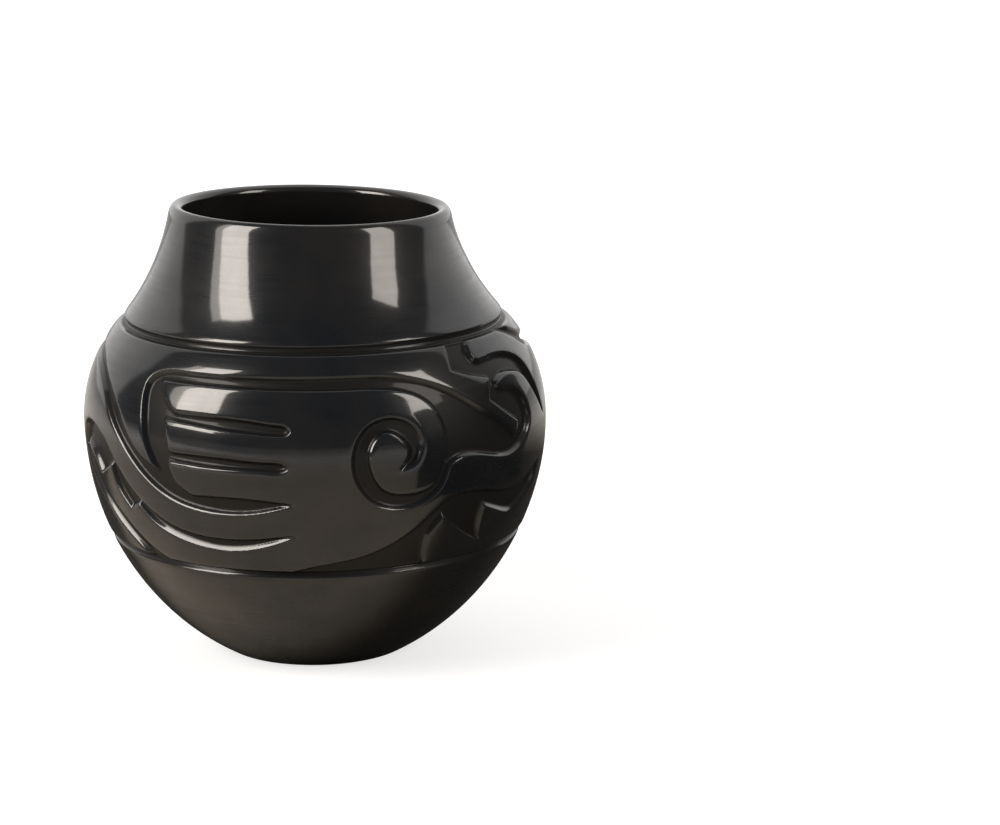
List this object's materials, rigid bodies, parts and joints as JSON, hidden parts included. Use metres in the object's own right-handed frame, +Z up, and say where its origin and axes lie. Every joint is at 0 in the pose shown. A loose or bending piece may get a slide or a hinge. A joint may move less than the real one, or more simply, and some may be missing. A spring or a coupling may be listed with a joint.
{
  "type": "pueblo pottery jar",
  "caption": "Round-bellied burnished black clay jar with a narrow neck, a rounded lip and a deeply carved band of water-serpent figures round the belly.",
  "frame": {"origin": "middle of the flat foot, on the surface that the jar stands on", "axes": "+Z up along the axis that the jar turns about, -Y out of the carved panel that faces the viewer"},
  "size_m": [0.2228, 0.2228, 0.2169],
  "materials": {
    "burnished_slip": "stone-burnished black slip, glossy on the raised clay and dull in the carved ground"
  },
  "bodies": {
    "root": {"base_pat": "burnished_slip", "bowl_wall": "burnished_slip", "lower_belly_wall": "burnished_slip", "upper_belly_wall": "burnished_slip", "shoulder_wall": "burnished_slip", "neck_wall": "burnished_slip", "rim_coil": "burnished_slip"}
  },
  "joints": []
}
